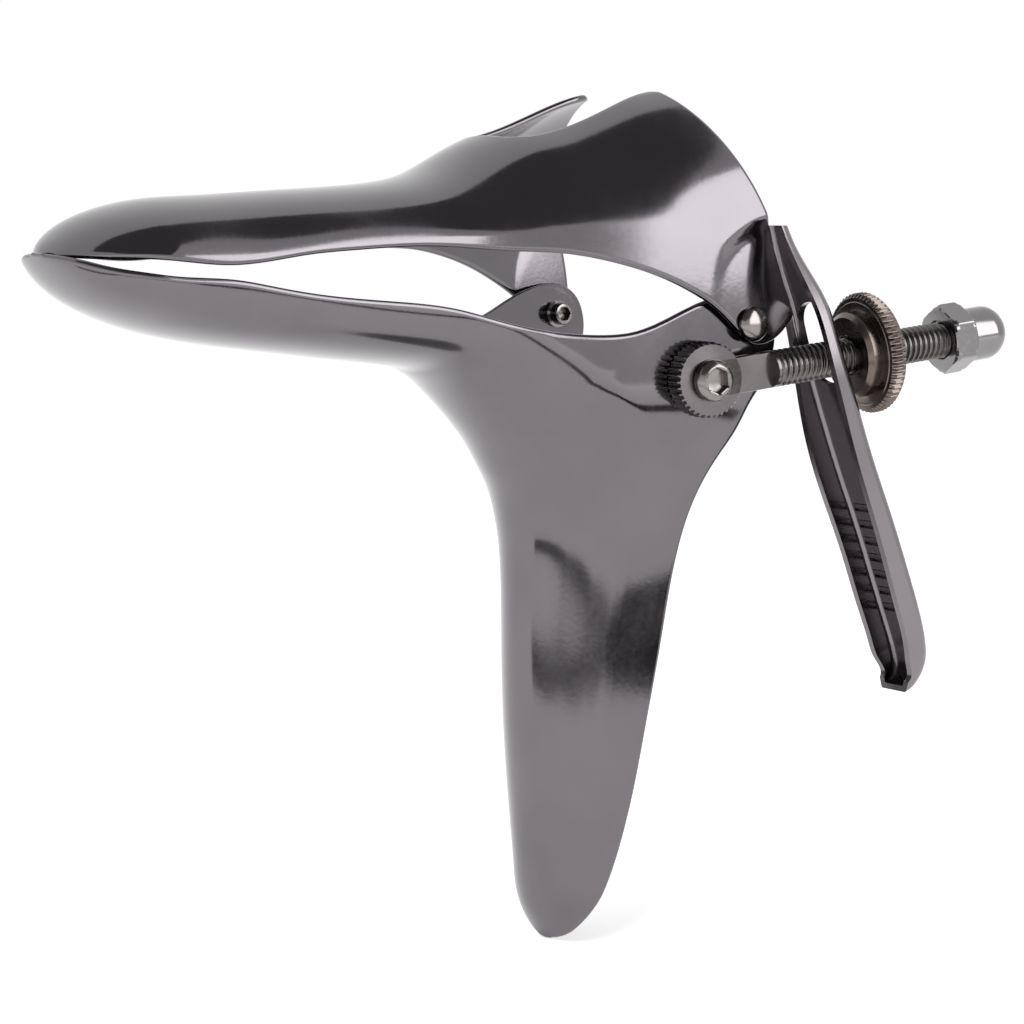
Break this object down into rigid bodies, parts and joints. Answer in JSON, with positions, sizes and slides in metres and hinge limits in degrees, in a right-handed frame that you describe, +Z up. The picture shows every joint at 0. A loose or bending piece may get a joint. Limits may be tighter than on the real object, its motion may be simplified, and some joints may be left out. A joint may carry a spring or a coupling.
{
  "type": "bivalve speculum",
  "caption": "Hand-held two-blade steel speculum: hinged valves with a trough handle, a side lever and a swinging screw with a thumb nut that holds them open.",
  "frame": {"origin": "middle of the hinge axis of the two valves, half way between their ears", "axes": "+X out of the mouth towards the user, blades along -X; +Y along the hinge axis away from the screw and lever; +Z up, the handle hangs down -Z"},
  "size_m": [0.1568, 0.0717, 0.1395],
  "materials": {
    "valve_steel": "polished, darkened",
    "screw_steel": "polished",
    "rod_steel": "satin",
    "nut_steel": "knurled, slightly tarnished",
    "cap_steel": "bright"
  },
  "bodies": {
    "lower_valve": {"lower_valve": "valve_steel", "near_hinge_barrel": "screw_steel", "near_hinge_screw": "screw_steel", "far_hinge_barrel": "screw_steel", "far_hinge_screw": "screw_steel", "eye_screw": "screw_steel", "eye_bush": "screw_steel"},
    "upper_valve": {"upper_valve": "valve_steel", "thumb_lever": "valve_steel"},
    "threaded_rod": {"threaded_rod": "rod_steel", "cap_nut": "cap_steel"},
    "thumb_nut": {"thumb_nut": "nut_steel"}
  },
  "joints": [
    {"name": "valve_open", "type": "hinge", "parent": "lower_valve", "child": "upper_valve", "pos_m": [0, 0, 0], "axis": [0, 1, 0], "range_deg": [0, 28]},
    {"name": "rod_swing", "type": "hinge", "parent": "lower_valve", "child": "threaded_rod", "pos_m": [-0.0091, -0.0251, -0.0084], "axis": [0.1478, 0.989, 0], "range_deg": [0, 8.4]},
    {"name": "nut_travel", "type": "slide", "parent": "threaded_rod", "child": "thumb_nut", "axis": [0.9821, -0.1468, 0.1184], "range_m": [-0.0008, 0.0125]}
  ],
  "couplings": [
    {"joint": "rod_swing", "follows": "valve_open", "ratio": 0.3}
  ]
}
